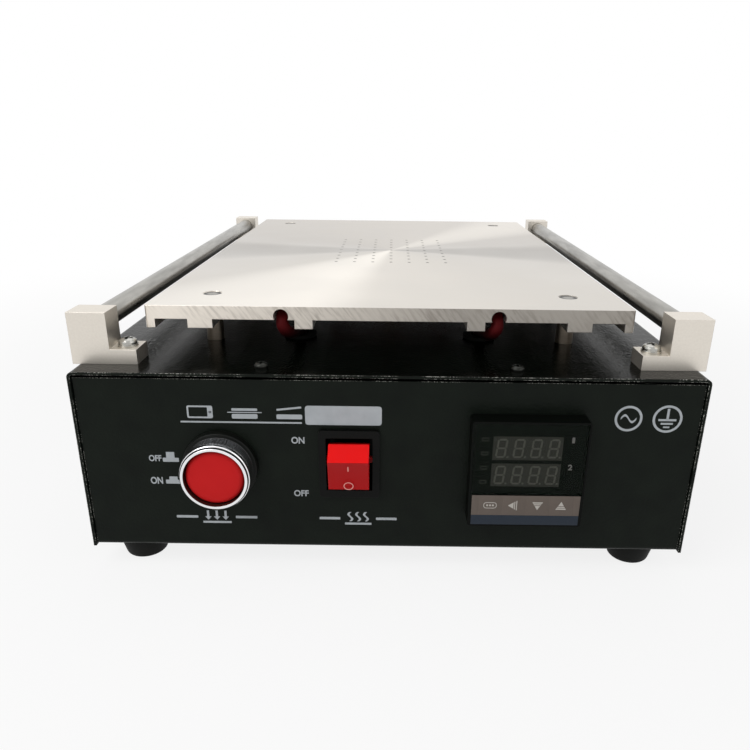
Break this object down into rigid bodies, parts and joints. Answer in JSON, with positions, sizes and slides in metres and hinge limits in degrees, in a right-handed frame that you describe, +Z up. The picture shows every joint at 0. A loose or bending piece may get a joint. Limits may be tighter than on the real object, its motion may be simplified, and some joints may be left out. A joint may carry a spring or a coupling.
{
  "type": "lcd screen separator",
  "caption": "Benchtop vacuum hot plate that softens the glue of a tablet screen, with rolling side bars to guide a cutting wire and a front panel of controls.",
  "frame": {"origin": "centre of the bounding box at the undersides of the feet", "axes": "+X to the right as seen from the front panel, +Y from the front panel to the rear, +Z up"},
  "size_m": [0.263, 0.3664, 0.1145],
  "materials": {
    "tray_paint": "black wrinkle powder coat, semi-gloss",
    "cover_paint": "black hammertone powder coat, semi-gloss",
    "plate_aluminium": "faced with a fly cutter, sawn ends",
    "sheet_aluminium": "mill finish",
    "bracket_aluminium": "bead blasted, clear anodised",
    "heater_steel": "drawn",
    "roller_steel": "ground, satin",
    "motor_steel": "drawn and plated",
    "zinc_steel": "zinc plated",
    "plate_screw_steel": "turned",
    "black_screw_steel": "black oxide",
    "nickel_plate": "nickel plated",
    "standoff_metal": "turned sleeve",
    "bezel_chrome": "polished",
    "brass": "turned",
    "red_silicone": "smooth silicone rubber",
    "clear_silicone": "translucent silicone rubber",
    "black_rubber": "moulded, matte",
    "black_plastic": "moulded, fine grain",
    "bezel_plastic": "moulded, fine grain",
    "relay_plastic": "moulded",
    "digit_face": "diffuse display face",
    "key_grey": "printed film",
    "smoked_window": "smoked acrylic",
    "red_cap": "translucent moulded lens",
    "red_rocker": "translucent, polished",
    "wire_pvc": "smooth sleeve"
  },
  "bodies": {
    "case": {"base_tray": "tray_paint", "top_cover": "cover_paint", "heating_plate": "plate_aluminium", "heater_rods": "heater_steel", "heater_sleeve_left": "red_silicone", "heater_sleeve_right": "red_silicone", "lead_grommets": "black_rubber", "plate_standoffs": "standoff_metal", "plate_screws": "plate_screw_steel", "hex_nuts": "zinc_steel", "chamber_lid": "sheet_aluminium", "chamber_gasket": "red_silicone", "chamber_screws": "zinc_steel", "chamber_fitting": "brass", "vacuum_hose": "clear_silicone", "guide_bracket_front_left": "bracket_aluminium", "guide_bracket_front_right": "bracket_aluminium", "guide_bracket_rear_left": "bracket_aluminium", "guide_bracket_rear_right": "bracket_aluminium", "bracket_screws": "zinc_steel", "cover_screws": "black_screw_steel", "foot_front_left": "black_rubber", "foot_front_right": "black_rubber", "foot_rear_left": "black_rubber", "foot_rear_right": "black_rubber", "foot_screws": "zinc_steel", "button_bezel": "bezel_chrome", "button_collar": "black_plastic", "button_body": "black_plastic", "button_nut": "zinc_steel", "rocker_frame": "black_plastic", "rocker_terminals": "brass", "controller_case": "black_plastic", "controller_bezel": "bezel_plastic", "controller_window": "smoked_window", "digit_displays": "digit_face", "controller_clamp": "black_plastic", "pump_motor": "motor_steel", "pump_crankcase": "black_plastic", "pump_head": "black_plastic", "pump_diaphragm": "black_rubber", "pump_bracket": "zinc_steel", "chassis_screws": "zinc_steel", "solid_state_relay": "relay_plastic", "power_supply": "sheet_aluminium", "terminal_block": "relay_plastic", "power_inlet": "black_plastic", "inlet_pins": "nickel_plate", "sensor_probe": "nickel_plate", "wiring": "wire_pvc"},
    "roller_left": {"guide_roller_left": "roller_steel"},
    "roller_right": {"guide_roller_right": "roller_steel"},
    "suction_button": {"button_cap": "red_cap"},
    "heating_rocker": {"rocker_actuator": "red_rocker"},
    "set_key": {"key_set": "key_grey"},
    "shift_key": {"key_shift": "key_grey"},
    "down_key": {"key_down": "key_grey"},
    "up_key": {"key_up": "key_grey"},
    "pump_shaft": {"pump_rotor": "roller_steel"}
  },
  "joints": [
    {"name": "roller_left_spin", "type": "hinge", "parent": "case", "child": "roller_left", "pos_m": [-0.1235, 0.0052, 0.108], "axis": [0, 1, 0], "continuous": true},
    {"name": "roller_right_spin", "type": "hinge", "parent": "case", "child": "roller_right", "pos_m": [0.1235, 0.0052, 0.108], "axis": [0, 1, 0], "continuous": true},
    {"name": "suction_press", "type": "slide", "parent": "case", "child": "suction_button", "axis": [0, 1, 0], "range_m": [0, 0.004], "stiffness_N_per_m": 500, "springref_m": -0.003},
    {"name": "heating_toggle", "type": "hinge", "parent": "case", "child": "heating_rocker", "pos_m": [-0.0163, -0.1678, 0.05385], "axis": [-1, 0, 0], "range_deg": [0, 30]},
    {"name": "set_press", "type": "slide", "parent": "case", "child": "set_key", "axis": [0, 1, 0], "range_m": [0, 0.0005], "stiffness_N_per_m": 1000, "springref_m": -0.0005},
    {"name": "shift_press", "type": "slide", "parent": "case", "child": "shift_key", "axis": [0, 1, 0], "range_m": [0, 0.0005], "stiffness_N_per_m": 1000, "springref_m": -0.0005},
    {"name": "down_press", "type": "slide", "parent": "case", "child": "down_key", "axis": [0, 1, 0], "range_m": [0, 0.0005], "stiffness_N_per_m": 1000, "springref_m": -0.0005},
    {"name": "up_press", "type": "slide", "parent": "case", "child": "up_key", "axis": [0, 1, 0], "range_m": [0, 0.0005], "stiffness_N_per_m": 1000, "springref_m": -0.0005},
    {"name": "pump_spin", "type": "hinge", "parent": "case", "child": "pump_shaft", "pos_m": [-0.078, -0.0158, 0.043], "axis": [0, 1, 0], "continuous": true}
  ]
}
